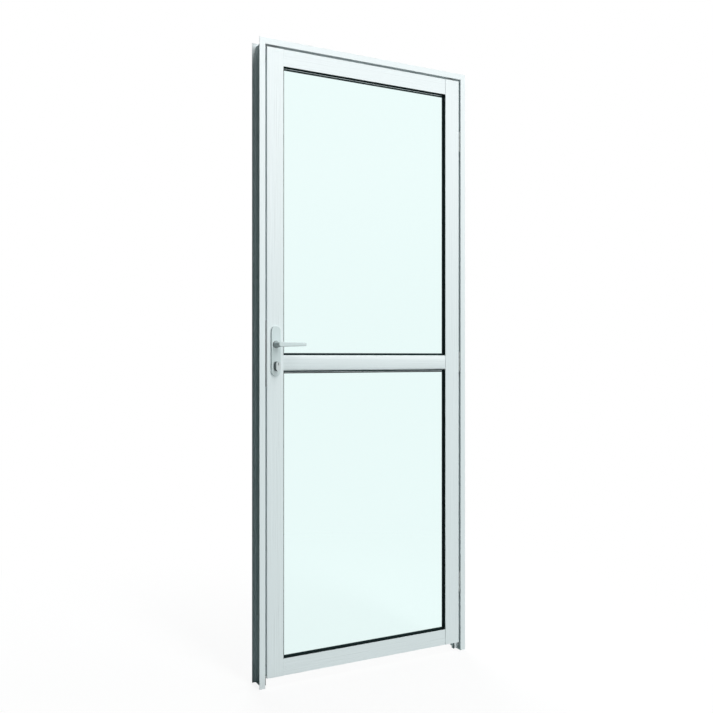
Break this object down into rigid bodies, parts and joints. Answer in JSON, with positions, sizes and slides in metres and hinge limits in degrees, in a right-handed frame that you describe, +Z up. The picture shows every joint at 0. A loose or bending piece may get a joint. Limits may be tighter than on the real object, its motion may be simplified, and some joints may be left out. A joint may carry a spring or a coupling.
{
  "type": "glass door with frame",
  "caption": "Slim aluminium door with glass panes above and below a middle rail, lever handle and cylinder lock, hinged in a mitred hollow frame without a sill.",
  "frame": {"origin": "bottom centre of the frame, on the middle plane of the closed leaf", "axes": "+Z up, -Y towards the outside face that the picture shows, +X towards the hinge side"},
  "size_m": [0.8, 0.128, 2.1],
  "materials": {
    "profile": "satin, pale silver",
    "handle": "satin",
    "glass": "clear float glass",
    "gasket": "matt black",
    "hinge": "satin grey",
    "steel": "zinc plated",
    "cylinder": "nickel plated brass",
    "nylon": "moulded"
  },
  "bodies": {
    "frame": {"frame_head": "profile", "lock_jamb": "profile", "hinge_jamb": "profile", "lock_corner_cleat": "profile", "hinge_corner_cleat": "profile", "frame_seal": "gasket", "strike_plate": "steel", "strike_screws": "steel", "hinge_frame_plate_1": "hinge", "hinge_frame_plate_2": "hinge", "hinge_frame_plate_3": "hinge", "hinge_pins": "hinge", "hinge_washers": "nylon", "hinge_frame_screws": "hinge"},
    "leaf": {"hinge_leaf_plate_1": "hinge", "hinge_leaf_plate_2": "hinge", "hinge_leaf_plate_3": "hinge", "hinge_leaf_screws": "hinge", "lock_stile": "profile", "hinge_stile": "profile", "top_rail": "profile", "mid_rail": "profile", "bottom_rail": "profile", "rail_screws": "steel", "lower_glass": "glass", "upper_glass": "glass", "lower_outer_gasket": "gasket", "upper_outer_gasket": "gasket", "lower_inner_gasket": "gasket", "upper_inner_gasket": "gasket", "setting_blocks": "gasket", "lower_rail_beads": "profile", "upper_rail_beads": "profile", "lower_side_beads": "profile", "upper_side_beads": "profile", "lock_case": "steel", "lock_cover": "steel", "faceplate": "steel", "faceplate_screws": "steel", "latch_spring": "steel", "cylinder_body": "cylinder", "cylinder_screw": "steel", "outside_plate": "handle", "inside_plate": "handle", "plate_bolts": "steel", "outside_bush": "nylon", "inside_bush": "nylon"},
    "handle": {"outside_lever": "handle", "inside_lever": "handle", "spindle": "steel", "lever_screws": "steel", "follower": "steel"},
    "latch": {"latch_bolt": "steel"},
    "deadbolt": {"deadbolt": "steel"},
    "key": {"outside_plug": "cylinder", "inside_plug": "cylinder", "cylinder_cam": "cylinder"}
  },
  "joints": [
    {"name": "leaf_swing", "type": "hinge", "parent": "frame", "child": "leaf", "pos_m": [0.3765, -0.009, 1.0515], "axis": [0, 0, 1], "range_deg": [0, 90]},
    {"name": "handle_turn", "type": "hinge", "parent": "leaf", "child": "handle", "pos_m": [-0.3445, 0, 1.11], "axis": [0, 1, 0], "range_deg": [0, 35], "stiffness_Nm_per_rad": 1.5, "springref_deg": -22.92},
    {"name": "latch_slide", "type": "slide", "parent": "leaf", "child": "latch", "axis": [1, 0, 0], "range_m": [0, 0.011], "deforming": ["latch_spring"]},
    {"name": "key_turn", "type": "hinge", "parent": "leaf", "child": "key", "pos_m": [-0.3445, 0, 1.047], "axis": [0, 1, 0], "range_deg": [0, 180]},
    {"name": "deadbolt_slide", "type": "slide", "parent": "leaf", "child": "deadbolt", "axis": [-1, 0, 0], "range_m": [0, 0.011]}
  ],
  "couplings": [
    {"joint": "latch_slide", "follows": "handle_turn", "m_per_rad": 0.018007},
    {"joint": "key_turn", "follows": "deadbolt_slide", "rad_per_m": 285.59}
  ]
}
